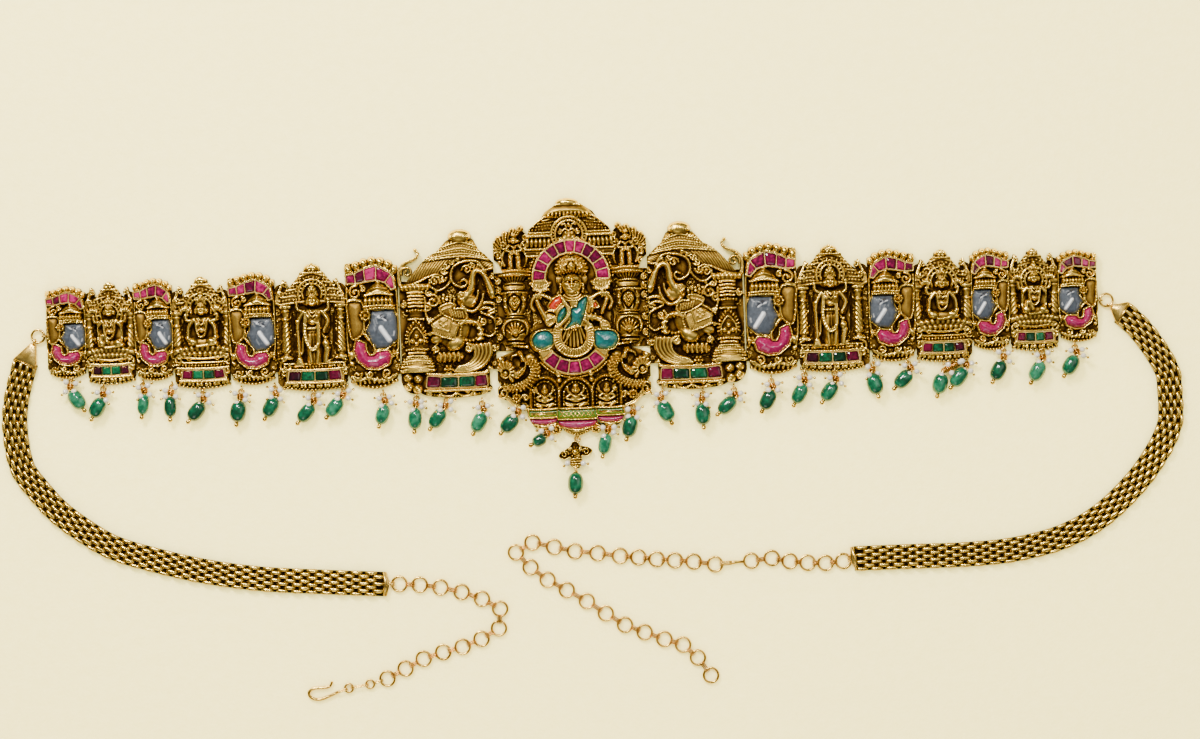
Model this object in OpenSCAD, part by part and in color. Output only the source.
// Waist belt of gold: a front panel of cast and pierced plates with stones and enamel, a row of
// bead drops, two woven straps and two ring chains that end in a hook and a plain ring.
// The origin is on the back of the centre plate, on its axis. +X runs along the panel, +Y goes up
// the panel and +Z comes out of its face. The belt lies flat on the plane z = 0.

/* [Centre plate] */
// Width of the centre plate from seam to seam
centre_w = 49; // [46:0.5:52]
// Height of the centre plate from its lowest cap to its finial
centre_h = 75.3; // [70:0.1:80]

/* [Wing plates] */
// Widths of the four elephant plates of a wing, outermost first
elephant_w = [12.8, 12.4, 15, 16.9]; // [11:0.1:19]
// Heights of the four elephant plates, outermost first
elephant_h = [29.7, 33.1, 36.3, 42.5]; // [27:0.1:47]
// Widths of the three shrine plates of a wing, outermost first
shrine_w = [15.3, 17.8, 22.5]; // [14:0.1:25]
// Heights of the three shrine plates, outermost first
shrine_h = [32.3, 35.6, 40.7]; // [29:0.1:45]
// Width of the beast plate beside the centre
yali_w = 30.8; // [28:0.1:34]
// Height of the beast plate
yali_h = 54.1; // [50:0.1:59]
// Gap between two plates
seam_gap = 0.2; // [0.1:0.05:0.4]

/* [Casting] */
// Thickness of a plate under its relief
plate_t = 1.2; // [1:0.1:1.6]
// Height of one step of the relief
step_h = 0.5; // [0.4:0.05:0.6]
// Width of the border that runs round the relief
border_w = 0.45; // [0.3:0.05:0.7]
// Diameter of the hidden wire that strings the plates together
link_wire_d = 0.6; // [0.4:0.05:0.7]
// Clearance between the hidden wire and its groove
link_wire_gap = 0.1; // [0.08:0.01:0.15]
// Height of the hidden wire above the origin
link_y = 9.4; // [9.2:0.1:9.5]

/* [Stones and enamel] */
// Clearance round a stone or a piece of enamel in its pocket
setting_gap = 0.06; // [0.05:0.01:0.12]
// Thickness of metal left under a stone or a piece of enamel
setting_floor = 0.8; // [0.6:0.05:0.9]
// Metal between two stones of a row
stone_wall = 0.55; // [0.4:0.05:0.7]
// Height of a crest or halo stone
crest_stone_h = 2.3; // [1.8:0.1:2.6]
// Height of a stone in the row along a plate's foot
base_stone_h = 2.1; // [1.6:0.1:2.4]
// Height of the enamel of an elephant's face
face_enamel_h = 2.9; // [2.2:0.1:3.2]

/* [Drops] */
// Diameter of the hole through a bead
bead_bore = 0.9; // [0.8:0.05:1.1]
// Diameter of the pin through a bead
pin_d = 0.6; // [0.45:0.05:0.65]
// Diameter of the ball at the lower end of a pin
pin_ball_d = 1.5; // [1.3:0.1:1.7]
// Diameter of the wire wrap at the upper end of a pin
wrap_d = 1.9; // [1.5:0.1:2.1]
// Diameter of the wire of the small eyelets and loops
eyelet_wire = 0.55; // [0.45:0.05:0.6]
// Mean radius of the small eyelets and loops
eyelet_r = 0.85; // [0.8:0.05:0.9]
// Length of the pendant bead
pendant_l = 6.9; // [6:0.1:7.5]
// Diameter of the pendant bead
pendant_d = 5.2; // [4.6:0.1:5.6]

/* [Straps] */
// Width of the woven straps
band_w = 8.3; // [7.5:0.1:9]
// Thickness of the woven straps
band_t = 2.2; // [1.8:0.1:2.6]
// Rows of links across a strap
band_rows = 7; // [5:1:9]
// Outer diameter of the jump rings between the panel and the straps
jump_ring_d = 4.9; // [4.6:0.1:5.4]
// Diameter of the wire of the jump rings
jump_wire = 0.8; // [0.7:0.05:0.85]

/* [Ring chains] */
// Outer diameter of the rings of the chains
ring_d = 5.5; // [5.3:0.05:5.7]
// Diameter of the wire of the rings
ring_wire = 0.84; // [0.75:0.01:0.9]
// Width of the loops that join the rings
loop_w = 1.6; // [1.2:0.1:1.9]
// Thickness of the loops that join the rings
loop_t = 0.3; // [0.25:0.01:0.35]
// Clearance between a loop and the ring that hangs in it
loop_gap = 0.13; // [0.11:0.01:0.16]
// Diameter of the wire of the hooks
hook_wire = 1; // [0.8:0.1:1.2]

/* [Hidden] */
$fn = 16;
weld = 0.01; // joins the outlines of one level of relief
over = 1; // how far a cut runs past what it cuts
sky = 20; // above all of the relief
clear = 0.1; // between pieces that pass through or hold each other
rest_gap = 0.05; // between a loop and the plane that it lies on
eyelet_z = eyelet_r + eyelet_wire / 2 + rest_gap;
bead_z = 2.6;
ring_r = (ring_d - ring_wire) / 2;
loop_in = ring_wire / 2 + loop_gap;
ring_z = loop_in + loop_t + rest_gap;
jump_r = (jump_ring_d - jump_wire) / 2;
half_centre = centre_w / 2;

// The plates of a wing from the centre outwards: kind, number, width, height, depth of the foot
// below the origin as a share of the height
WING = [
  ["yali", 0, yali_w, yali_h, 0.381],
  ["elephant", 3, elephant_w[3], elephant_h[3], 0.4],
  ["shrine", 2, shrine_w[2], shrine_h[2], 0.405],
  ["elephant", 2, elephant_w[2], elephant_h[2], 0.394],
  ["shrine", 1, shrine_w[1], shrine_h[1], 0.402],
  ["elephant", 1, elephant_w[1], elephant_h[1], 0.356],
  ["shrine", 0, shrine_w[0], shrine_h[0], 0.365],
  ["elephant", 0, elephant_w[0], elephant_h[0], 0.337]
];
SIDES = ["left", "right"];
SIDE_SIGN = [-1, 1];
function width_to(k) = k < 0 ? half_centre : width_to(k - 1) + WING[k][2];
function plate_x(k) = width_to(k) - WING[k][2] / 2;
function plate_foot(k) = -WING[k][3] * WING[k][4];
panel_end = width_to(len(WING) - 1);

gold = "goldenrod";
ruby = "mediumvioletred";
garnet = "darkred";
emerald = "seagreen";

// Curves

function bend(a, b, c, d, t) =
  (2 * b + (c - a) * t + (2 * a - 5 * b + 4 * c - d) * t * t + (3 * b - a - 3 * c + d) * t * t * t) / 2;
// A smooth open curve through the points p, with n steps between two of them
function smooth(p, n = 2) = let (m = len(p) - 1) concat(
  [for (i = [0:m - 1]) for (k = [0:n - 1])
    bend(p[max(i - 1, 0)], p[i], p[i + 1], p[min(i + 2, m)], k / n)],
  [p[m]]);
// A smooth closed curve through the points p
function smooth_loop(p, n = 2) = let (m = len(p))
  [for (i = [0:m - 1]) for (k = [0:n - 1])
    bend(p[(i + m - 1) % m], p[i], p[(i + 1) % m], p[(i + 2) % m], k / n)];
function left_of(p, i) = let (m = len(p) - 1, d = p[min(i + 1, m)] - p[max(i - 1, 0)])
  [-d[1], d[0]] / norm(d);
// The curve p moved sideways by w
function beside(p, w) = [for (i = [0:len(p) - 1]) p[i] + left_of(p, i) * w];
function reversed(p) = [for (i = [len(p) - 1:-1:0]) p[i]];
// The outline of a ribbon along p whose width goes from w0 to w1
function ribbon(p, w0, w1) = let (m = len(p) - 1) concat(
  [for (i = [0:m]) p[i] + left_of(p, i) * (w0 + (w1 - w0) * i / m) / 2],
  [for (i = [m:-1:0]) p[i] - left_of(p, i) * (w0 + (w1 - w0) * i / m) / 2]);
function along(p, t) = let (s = t * (len(p) - 1), i = min(floor(s), len(p) - 2))
  p[i] + (p[i + 1] - p[i]) * (s - i);
function polar(r, a) = [r * cos(a), r * sin(a)];
function middle(p) = [for (c = [0, 1]) let (v = [for (q = p) q[c]]) (max(v) + min(v)) / 2];

// Drawing on a plate's grid. $gx and $gy are one square of the grid across and up.

hoop_step = 18; // degrees between two corners of a hoop
curl_steps = 9; // corners of a curl in each turn
curl_end = 0.3; // radius of a curl's inner end as a share of its outer radius
curl_drop = 0.8; // radius of the drop at that end as a share of the curl's width
small_sides = 6;
PETAL = [[0, 0.6], [0.25, 0.95], [0.75, 0.95]]; // angle as a share of a petal, radius as a share
function g(p) = [p[0] * $gx, p[1] * $gy];
function gs(list) = [for (p = list) g(p)];
function square_size() = min($gx, $gy);
module stroke(p, w0, w1) {
  polygon(ribbon(smooth(gs(p)), w0 * square_size(), w1 * square_size()));
}
module patch(p) { polygon(smooth_loop(gs(p))); }
module shape(p) { polygon(gs(p)); }
module disc(p, r) { translate(g(p)) circle(r = r * square_size()); }
module hoop(p, r_out, r_in, a0 = 0, a1 = 360) {
  n = ceil(abs(a1 - a0) / hoop_step);
  u = square_size();
  translate(g(p)) polygon(concat(
    [for (i = [0:n]) polar(r_out * u, a0 + (a1 - a0) * i / n)],
    [for (i = [n:-1:0]) polar(r_in * u, a0 + (a1 - a0) * i / n)]));
}
module bar(x0, x1, y0, y1) { shape([[x0, y0], [x1, y0], [x1, y1], [x0, y1]]); }
// A scroll: a spiral of the given turns round p, from radius r inwards, starting at angle a
module curl(p, r, a, turns = 1.1, w = 0.6) {
  n = ceil(abs(turns) * curl_steps);
  u = square_size();
  path = [for (i = [0:n]) polar(u * r * (1 - (1 - curl_end) * i / n), a + 360 * turns * i / n)];
  translate(g(p)) polygon(ribbon(path, w * u, w * u));
  translate(g(p) + path[n]) circle(r = w * u * curl_drop, $fn = small_sides);
}
module flower(p, r, petals) {
  translate(g(p)) polygon([for (i = [0:petals - 1]) for (q = PETAL)
    polar(r * q[1] * square_size(), 360 * (i + q[0]) / petals)]);
}

// Relief

module level(k, low = 0.4) {
  translate([0, 0, plate_t * low])
    linear_extrude(plate_t * (1 - low) + k * step_h) offset(delta = weld) children();
}
// A round boss whose top is k steps above the plate
module boss(p, r, k) {
  translate(concat(g(p), plate_t + k * step_h - r * square_size())) sphere(r = r * square_size());
}
// A row of n beads along a curve, with their tops k steps above the plate
module beads(p, n, r, k) {
  path = smooth(p);
  for (i = [0:n - 1]) boss(along(path, n > 1 ? i / (n - 1) : 0.5), r, k);
}
// A turned form that lies half in the plate, axis up the plate, with its top at p and its front
// k steps above the plate. Rows: squares below the top, radius in squares.
module turned(p, rows, k) {
  widest = max([for (r = rows) r[1]]) * square_size();
  translate(concat(g(p), plate_t + k * step_h - widest)) rotate([90, 0, 0])
    rotate_extrude() polygon(concat(
      [[0, rows[0][0] * $gy]],
      [for (r = rows) [r[1] * square_size(), r[0] * $gy]],
      [[0, rows[len(rows) - 1][0] * $gy]]));
}
// Everything outside the plate's seams and below its back, which the finished casting loses
module trim(w, h) {
  for (s = [-1, 1]) translate([s > 0 ? w / 2 - seam_gap / 2 : -w / 2 + seam_gap / 2 - w, -h, -sky])
    cube([w, 3 * h, 2 * sky]);
  translate([-2 * w, -h, -sky]) cube([4 * w, 3 * h, sky]);
}
// The groove for the hidden wire in the back of a plate whose foot is at the height foot
module link_groove(w, foot) {
  side = link_wire_d + 2 * link_wire_gap;
  translate([-w, link_y - foot - side / 2, -over]) cube([2 * w, side, side + over]);
}
module pocket(floor_z = setting_floor) {
  translate([0, 0, floor_z]) linear_extrude(sky) offset(delta = setting_gap) children();
}

// Stones

function corners_cut(q, share = 0.2) = let (m = len(q)) [for (i = [0:m - 1])
  each [q[i] + (q[(i + m - 1) % m] - q[i]) * share, q[i] + (q[(i + 1) % m] - q[i]) * share]];
// The plan q drawn in by d on all sides, about its middle
function drawn_in(q, d) = let (c = middle(q)) [for (p = q) p - (p - c) * d / norm(p - c)];
// Shares of a stone: its plan at the foot and at the table, and the height of its girdle
gem_foot = 0.88;
gem_table = 0.6;
gem_girdle = 0.62;
module gem(plan, z, h) {
  n = len(plan);
  c = middle(plan);
  rings = [[gem_foot, z], [1, z + h * gem_girdle], [gem_table, z + h]];
  polyhedron(
    points = [for (r = rings) for (p = plan) concat(c + (p - c) * r[0], r[1])],
    faces = concat([[for (i = [0:n - 1]) i]], [[for (i = [n - 1:-1:0]) 2 * n + i]],
      [for (k = [0, n]) for (i = [0:n - 1]) let (j = (i + 1) % n) [k + i, k + n + i, k + n + j, k + j]]));
}
// Plans of the stones between two curves, each given at the bounds of the stones
function row_plans(top, foot) = [for (i = [0:len(top) - 2])
  corners_cut(drawn_in([top[i], top[i + 1], foot[i + 1], foot[i]], stone_wall))];

// Elephant plate, on a grid of 16.9 by 42.5 squares

ELEPHANT_GRID = [16.9, 42.5];
CREST_TOP = [[-7.6, 32.4], [-6.6, 37], [-1.8, 39.8], [2.2, 38.9], [5.2, 37.4], [8.1, 36.9]];
CREST_FOOT = [[-6.5, 32], [-4.4, 34.3], [-1.5, 35.2], [1.9, 34.8], [4.9, 34.2], [7.9, 34.4]];
FACE = [[0.2, 25.2], [-6.9, 25.5], [-7.7, 22.8], [-7.9, 18.9], [-7.8, 16.2], [-4.8, 13.6],
  [-1.2, 13.3], [0.4, 15.2], [1.4, 17.7], [2.1, 19.1], [0.8, 21.3]];
TRUNK = [[5.3, 15.9], [6, 12.6], [4.9, 9.6], [1.9, 7.2], [-1.5, 6.9], [-4.8, 8.4], [-5.6, 11],
  [-4.6, 12.5], [-1.5, 12.2], [-0.2, 11.1], [1.6, 11], [2.5, 13.2], [2.6, 14.9], [4.2, 15.7]];
TUSK = [[-2.3, 19.7], [-3.6, 18.1], [-5.3, 15.9]];
EAR = [[3.2, 28.2], [7.7, 28.4], [7.8, 24], [7.3, 18.6], [6.2, 16.4], [3.4, 18.2], [2.7, 22]];

function crest_stones() = row_plans(gs(CREST_TOP), gs(CREST_FOOT));
module elephant_grid(k) {
  $gx = WING[k][2] / ELEPHANT_GRID[0];
  $gy = WING[k][3] / ELEPHANT_GRID[1];
  children();
}
module elephant_outline() {
  bar(-9, 9, 5, 36);
  patch([[-9, 36], [-7.5, 39.6], [-4, 41.4], [0.5, 41.9], [4, 40.8], [9, 39.8], [9, 30], [0, 28],
    [-9, 30]]);
  patch([[-7, 6], [-6.4, 2.6], [-3, 1], [0.2, 0.4], [3.4, 1], [6.6, 2.6], [7.4, 6], [0, 9]]);
}
module elephant_relief() {
  level(1) {
    patch(EAR);
    stroke([[-7, 4.4], [-4, 2.6], [0.5, 2], [5, 2.8], [7.4, 4.6]], 2.4, 2.4);
  }
  level(2) {
    stroke([[7.6, 27.6], [7.9, 24], [7.4, 19], [6, 16.6]], 0.6, 0.6);
    stroke([[2.5, 17.6], [0.6, 14.8], [0.1, 12.4], [1.2, 12], [1.6, 13.2]], 0.8, 0.5);
    curl([5.1, 31.4], 2.2, 100, -1.1, 0.7);
    curl([-4.4, 5], 1.7, 200, 1.1);
    stroke([[-2.6, 3.6], [0.6, 5.4], [4, 4.6], [6.6, 5.4]], 0.5, 0.7);
    stroke([[-8.1, 32], [-8.3, 20], [-8, 15]], 0.5, 0.5);
    flower([2.2, 24], 2, 8);
    flower([-6.6, 11.4], 1.5, 6);
  }
  boss([7, 11], 1.1, 2.2);
  boss([6.8, 8.6], 0.9, 2);
  level(3, 0.2) polygon(concat(beside(smooth(gs(CREST_TOP)), stone_wall * 1.4),
    reversed(beside(smooth(gs(CREST_FOOT)), -stone_wall * 1.4))));
  beads([[-7, 39.4], [-3.4, 41], [0.4, 41.5], [4, 40.4], [7.4, 39.6]], 8, 1.15, 3.2);
  beads([[-6.8, 3], [-3.6, 1.5], [0.3, 1], [4.2, 1.6], [7, 3]], 11, 0.75, 1.6);
  turned([-2.2, 34.6], [[0, 0.8], [0.7, 2.4], [2, 3.2], [4.2, 3.8], [4.5, 4.4], [5.8, 4.8], [7.1, 4.5],
    [7.4, 4.9], [8.5, 4.9]], 4.4);
}
module elephant_plate(k, side) {
  w = WING[k][2];
  h = WING[k][3];
  if (k == len(WING) - 1) color(gold) on_plate(k) standing_eyelet(end_eye(side), [1, 0]);
  color(gold) with_drops(k, side) elephant_grid(k) difference() {
    union() {
      linear_extrude(plate_t) difference() {
        offset(delta = border_w) { elephant_outline(); drop_lugs(k, side); }
        hoop([6.9, 14], 1, 0.5);
      }
      elephant_relief();
    }
    trim(w, h);
    pocket() shape(FACE);
    pocket() shape(TRUNK);
    pocket() for (p = crest_stones()) polygon(p);
    link_groove(w, plate_foot(k));
  }
}
enamel_edge = 0.5; // width of the lower edge that runs round the enamel
enamel_edge_share = 0.8; // height of that edge as a share of the enamel's height
trunk_share = 0.94; // height of a trunk's enamel as a share of a face's
tusk_w = [1.5, 0.9];
module elephant_enamel(outline, h) {
  translate([0, 0, setting_floor + setting_gap]) {
    linear_extrude(h * enamel_edge_share) shape(outline);
    linear_extrude(h) offset(delta = -enamel_edge) shape(outline);
  }
}
module elephant_face(k) {
  elephant_grid(k) {
    elephant_enamel(FACE, face_enamel_h);
    translate([0, 0, plate_t]) linear_extrude(face_enamel_h) offset(delta = weld)
      stroke(TUSK, tusk_w[0], tusk_w[1]);
  }
}

// Shrine plates, outermost first

SHRINE_GRID = [[15.3, 32.3], [17.8, 35.6], [22.5, 40.7]];
// Squares: axis, foot of the roof, middle and radius of the arch, pillar distance, pillar foot,
// foot and head of the stone row, half width of the stone row
SHRINES = [
  [0, 22.6, 22.4, 4.3, 6.6, 9.6, 3, 5.9, 5.9],
  [-0.4, 24.6, 25.5, 4.9, 8, 11.6, 3.1, 6.1, 6.9],
  [-0.8, 27.6, 31.2, 4.6, 8.8, 10.4, 3.4, 6.6, 8.7]
];
// Roof outline: share of the half width, share of the height above the roof's foot
ROOF = [[1, 0], [0.97, 0.12], [0.84, 0.32], [0.56, 0.52], [0.42, 0.66], [0.31, 0.8], [0.22, 0.84],
  [0.2, 0.94], [0.08, 1]];
BASE_STONE_BOUNDS = [-1, -0.52, 0, 0.52, 1];

function roof_outline(x, y, half, top) = concat(
  [for (r = ROOF) [x + half * r[0], y + (top - y) * r[1]]],
  reversed([for (r = ROOF) [x - half * r[0], y + (top - y) * r[1]]]));
// Bounds of the stones of a base row at height y: the row sags towards its middle
function stone_bounds(x, y, half, sag) = [for (b = BASE_STONE_BOUNDS)
  [x + half * b, y - sag * (1 - b * b)]];
STONE_ROW_HEAD = 0.94; // length of a stone row's upper edge as a share of its lower edge
STONE_ROW_SAG = [0.2, 0.3]; // how far its upper and lower edge sag
function shrine_stones(i) = let (s = SHRINES[i]) row_plans(
  gs(stone_bounds(s[0], s[7], s[8] * STONE_ROW_HEAD, STONE_ROW_SAG[0])),
  gs(stone_bounds(s[0], s[6], s[8], STONE_ROW_SAG[1])));
module shrine_outline(i) {
  s = SHRINES[i];
  w = SHRINE_GRID[i][0];
  shape(roof_outline(s[0], s[1], w / 2, SHRINE_GRID[i][1] - 0.4));
  bar(-w, w, s[7] + 1.5, s[1] + 2);
  patch([[-w * 0.47, s[7] + 3], [-w * 0.46, s[6] - 1.4], [0, 0.3], [w * 0.46, s[6] - 1.4],
    [w * 0.47, s[7] + 3]]);
  for (d = [-1, 1]) disc([d * w * 0.42, s[1] + 4.6], 2.4);
}
module shrine_gaps(i) {
  s = SHRINES[i];
  for (d = [-1, 1]) {
    shape([[s[0] + d * (s[4] - 1.9), s[5] + 4], [s[0] + d * (s[4] - 1.7), s[1] - 4],
      [s[0] + d * (s[4] - 2.6), s[1] - 3.4], [s[0] + d * (s[4] - 2.7), s[5] + 3.4]]);
  }
}
module shrine_frame(i) {
  s = SHRINES[i];
  top = SHRINE_GRID[i][1];
  w = SHRINE_GRID[i][0];
  level(1) difference() {
    shape(roof_outline(s[0], s[1], w * 0.47, top - 1));
    disc([s[0], s[2]], s[3] - 1);
  }
  level(2) difference() {
    shape(roof_outline(s[0], s[1] + 1.2, w * 0.38, top - 2.4));
    disc([s[0], s[2]], s[3] - 1);
  }
  level(3) hoop([s[0], s[2]], s[3], s[3] - 1, -20, 200);
  boss([s[0], top - 2.2], 1.7, 3.6);
  for (d = [-1, 1]) {
    turned([s[0] + d * s[4], s[1]], [[0, 1.9], [1.3, 1.9], [1.5, 1.1], [4, 1], [4.3, 1.4], [4.8, 1.4],
      [5, 1.1], [s[1] - s[5] - 2, 1.5], [s[1] - s[5] - 1.2, 1], [s[1] - s[5] - 0.9, 1.8],
      [s[1] - s[5], 1.8]], 2.6);
    level(1.5) {
      curl([s[0] + d * (s[4] + 0.3), s[5] - 2.6], 2.1, 90, -d * 1.2, 0.7);
      stroke([[s[0] + d * w * 0.45, s[1] + 1.5], [s[0] + d * w * 0.4, s[1] + 4.6],
        [s[0] + d * w * 0.3, s[1] + 7]], 0.9, 0.5);
    }
    boss([s[0] + d * w * 0.43, s[7] - 1], 1.5, 2);
  }
  frame_w = s[7] - s[6] + 1;
  level(2, 0.2) stroke(stone_bounds(s[0], (s[6] + s[7]) / 2, s[8] + 0.7, 0.25), frame_w, frame_w);
  beads(stone_bounds(s[0], s[6] - 1.6, s[8] + 0.2, 0.9), 13, 0.62, 1.8);
}
// The standing figure with a mace, about the shrine's axis
module standing_figure(x, y) {
  level(2) {
    patch([[x - 3.2, y + 17.5], [x + 3.2, y + 17.5], [x + 2, y + 11], [x + 2.6, y], [x - 2.6, y],
      [x - 2, y + 11]]);
    stroke([[x + 3, y + 17], [x + 4.6, y + 13.6], [x + 4.9, y + 11]], 1.3, 1);
    stroke([[x - 3, y + 17], [x - 4.4, y + 13], [x - 3.4, y + 9.5]], 1.3, 1);
    stroke([[x + 4.9, y + 13.5], [x + 4.6, y + 1.6]], 0.9, 1.1);
    shape([[x + 3.9, y + 1.6], [x + 5.3, y + 1.6], [x + 6.4, y - 1], [x + 2.8, y - 1]]);
  }
  level(3) stroke([[x + 2.4, y + 16.6], [x + 2.9, y + 9], [x + 1, y + 4.6], [x - 1.5, y + 5.8],
    [x - 1.8, y + 13]], 1, 1);
  boss([x + 0.1, y + 20.4], 1.7, 5);
  boss([x + 0.1, y + 22.8], 1.3, 4.6);
  boss([x - 3.8, y + 6], 1.4, 3.6);
}
// A figure seated on a lotus, about the shrine's axis, with the lotus half as wide as asked
module seated_figure(x, y, half) {
  level(2) {
    patch([[x - 2.7, y + 10], [x + 2.7, y + 10], [x + 1.9, y + 5], [x + 4.6, y + 2.6], [x + 3.6, y + 0.6],
      [x - 3.6, y + 0.6], [x - 4.6, y + 2.6], [x - 1.9, y + 5]]);
    for (d = [-1, 1])
      stroke([[x + d * 2.4, y + 9.4], [x + d * 4.4, y + 6.4], [x + d * 4.2, y + 4]], 1.2, 0.9);
  }
  level(1.4) patch([[x - half, y - 0.4], [x - half * 0.8, y + 1.2], [x, y + 1.6], [x + half * 0.8, y + 1.2],
    [x + half, y - 0.4], [x + half * 0.6, y - 3], [x, y - 3.6], [x - half * 0.6, y - 3]]);
  level(2.4) for (a = [-70:20:70])
    stroke([[x, y - 3], [x + half * 0.82 * sin(a), y - 3 + 3.6 * cos(a)]], 0.5, 0.8);
  boss([x, y + 12.2], 1.5, 5);
  boss([x, y + 14.2], 1.1, 4.4);
}
module shrine_plate(k, side) {
  i = WING[k][1];
  s = SHRINES[i];
  w = WING[k][2];
  $gx = w / SHRINE_GRID[i][0];
  $gy = WING[k][3] / SHRINE_GRID[i][1];
  color(gold) with_drops(k, side) difference() {
    union() {
      linear_extrude(plate_t) difference() {
        offset(delta = border_w) { shrine_outline(i); drop_lugs(k, side); }
        shrine_gaps(i);
      }
      shrine_frame(i);
      translate([s[0] * $gx, 0]) mirror([side, 0, 0]) {
        if (i == 2) standing_figure(0, s[5] - 1.6);
        if (i < 2) seated_figure(0, s[5] + 1.4, s[4] - 0.6);
      }
    }
    trim(w, WING[k][3]);
    pocket() for (p = shrine_stones(i)) polygon(p);
    link_groove(w, plate_foot(k));
  }
}

// Beast plate, on a grid of 30.8 by 54.1 squares

YALI_GRID = [30.8, 54.1];
YALI_PILLAR = 9.9;
YALI_ROOF = [[-15.6, 42.4], [-12.6, 45.6], [-10.6, 47.2], [-9, 50.4], [-7.6, 51.4], [-7.2, 53],
  [-5.6, 53.9], [-3.6, 53.4], [-2.4, 51.4], [-0.4, 50.2], [2.4, 47], [5.4, 45.4], [9, 42], [12.6, 37.4],
  [12, 34], [-15.6, 34]];
YALI_STONES_TOP = [[-12, 7.5], [-8.4, 7.3], [-3, 7.1], [2.5, 7.2], [6.9, 7.6]];
YALI_STONES_FOOT = [[-12.4, 3.7], [-8.2, 3.6], [-2.9, 3.6], [2.9, 3.6], [7.4, 3.8]];
module yali_outline() {
  shape(YALI_ROOF);
  bar(-16, 15, 9, 38);
  bar(-13, 8.6, 1.4, 12);
  patch([[-13, 4], [-11, 1], [-2.5, 0.3], [7, 1], [9, 4], [-2, 8]]);
  patch([[8, 12], [7.8, 5], [11.4, 2.2], [14.8, 5], [15, 12]]);
  stroke([[14.6, 35], [12.4, 41.6], [10.4, 44.6], [9.4, 47]], 3, 1);
}
module yali_gaps() {
  patch([[-11.4, 35.4], [-11.8, 32.4], [-9.9, 31.6], [-10, 34.8]]);
  patch([[-8.9, 21.2], [-7, 22.6], [-6.4, 20.6], [-8.4, 19]]);
  patch([[-15, 9.4], [-14.4, 13], [-12.6, 13.6], [-13.4, 9.8]]);
  patch([[1.2, 12.6], [4, 12.6], [4.4, 10], [2, 10]]);
}
module yali_beast() {
  level(2) {
    patch([[-2, 31], [4, 27], [5, 22], [3, 17], [-3, 17], [-6.6, 21], [-7.4, 26], [-7, 31], [-5.4, 34]]);
    stroke([[-5.6, 30], [-7.6, 32.4], [-8.6, 36], [-9.6, 39.4], [-11.3, 40.6], [-13, 39], [-15, 34.4]],
      2.6, 2.6);
    patch([[-3.7, 20], [0.4, 19], [1.4, 15.6], [-1.2, 14.4], [-5.4, 15.4]]);
    stroke([[-0.4, 14.8], [0.8, 12.4], [-1, 10.4]], 1.8, 1.6);
    stroke([[-5.6, 23.4], [-8.8, 24], [-10.6, 21]], 2, 1.3);
    stroke([[3.4, 26], [4.8, 28], [4.6, 31]], 1, 0.7);
  }
  level(3) {
    patch([[2.1, 29.1], [-0.9, 30.4], [-3, 29.4], [-5.7, 28], [-6.7, 25.7], [-4, 25.2], [-0.9, 26.7]]);
    shape([[3.5, 24], [-2, 25.3], [-4.3, 24], [-1.6, 18.5], [4.5, 20.6]]);
    stroke([[-6.4, 29.4], [-9.1, 28.6], [-11.6, 32.6]], 1.3, 0.6);
  }
  boss([-5.4, 33.1], 1.3, 4.4);
  boss([-0.3, 9.9], 1.4, 3.2);
}
module yali_scrolls() {
  level(1.5) {
    curl([-5.6, 38.4], 4.2, -60, 1.2, 0.9);
    curl([3.4, 37.2], 2.1, 200, -1.1, 0.8);
    curl([-1, 41], 1.6, 0, 1, 0.7);
    stroke([[1.6, 36], [0.6, 39.6], [-1.6, 42], [-5.6, 43.2], [-9.6, 42.4], [-12.4, 41.6]], 0.9, 0.9);
    curl([-14.2, 22.6], 2.8, 80, 1, 0.8);
    curl([-11.5, 24.6], 1.4, 90, -1, 0.6);
    curl([5, 30.6], 2.3, 0, 1.1, 0.8);
    curl([4.6, 14.8], 1.2, 0, 1, 0.6);
    curl([-7, 16.2], 1.4, 90, 1, 0.6);
    stroke([[-13.6, 30], [-15, 28], [-12.4, 26.6]], 1.2, 0.8);
  }
  level(2.4) for (t = [0:5])
    stroke([[-2.4 - 0.5 * t, 9.6 + 0.3 * t], [-7.5 - 0.6 * t, 9 + 1.1 * t], [-11 - 0.3 * t, 11 + 1.3 * t],
      [-12 + 0.2 * t, 15 + 1.2 * t]], 0.7, 0.5);
}
module yali_frame() {
  level(1) shape([for (p = YALI_ROOF) [p[0] * 0.93 - 0.3, 34 + (p[1] - 34) * 0.92]]);
  level(2) for (t = [0:3]) stroke([[-11.6 + 2 * t, 44.4 + 2.1 * t], [-5, 46.2 + 1.9 * t],
    [1.6 - 1.8 * t, 44.6 + 2.1 * t]], 0.9, 0.9);
  boss([-5, 51.6], 1.9, 4);
  level(2) stroke([[13.4, 36], [12.8, 39], [10.4, 41.6], [9.2, 45], [10, 46.6]], 0.8, 0.8);
  turned([YALI_PILLAR, 37.3], [[0, 4.4], [1.2, 4.7], [2.7, 4.3], [3, 2.6], [9.4, 2.5], [10, 3.2], [13, 3.9],
    [18, 3.8], [20.6, 2.6], [21, 3.9], [22.4, 3.8], [22.8, 2.9], [24.4, 3], [24.8, 4.9], [26.4, 5],
    [26.8, 5.4], [28.3, 5.4]], 3.4);
  for (p = [[13, 7.3], [9.9, 6.8], [12.8, 4.6], [10.1, 3.6]]) boss(p, 1.4, 2.4);
  level(2, 0.2) polygon(concat(beside(gs(YALI_STONES_TOP), stone_wall),
    reversed(beside(gs(YALI_STONES_FOOT), -stone_wall))));
  beads([[-11.6, 2.4], [-2.4, 1.6], [7, 2.4]], 15, 0.7, 1.8);
}
function yali_stones() = row_plans(gs(YALI_STONES_TOP), gs(YALI_STONES_FOOT));
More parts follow.
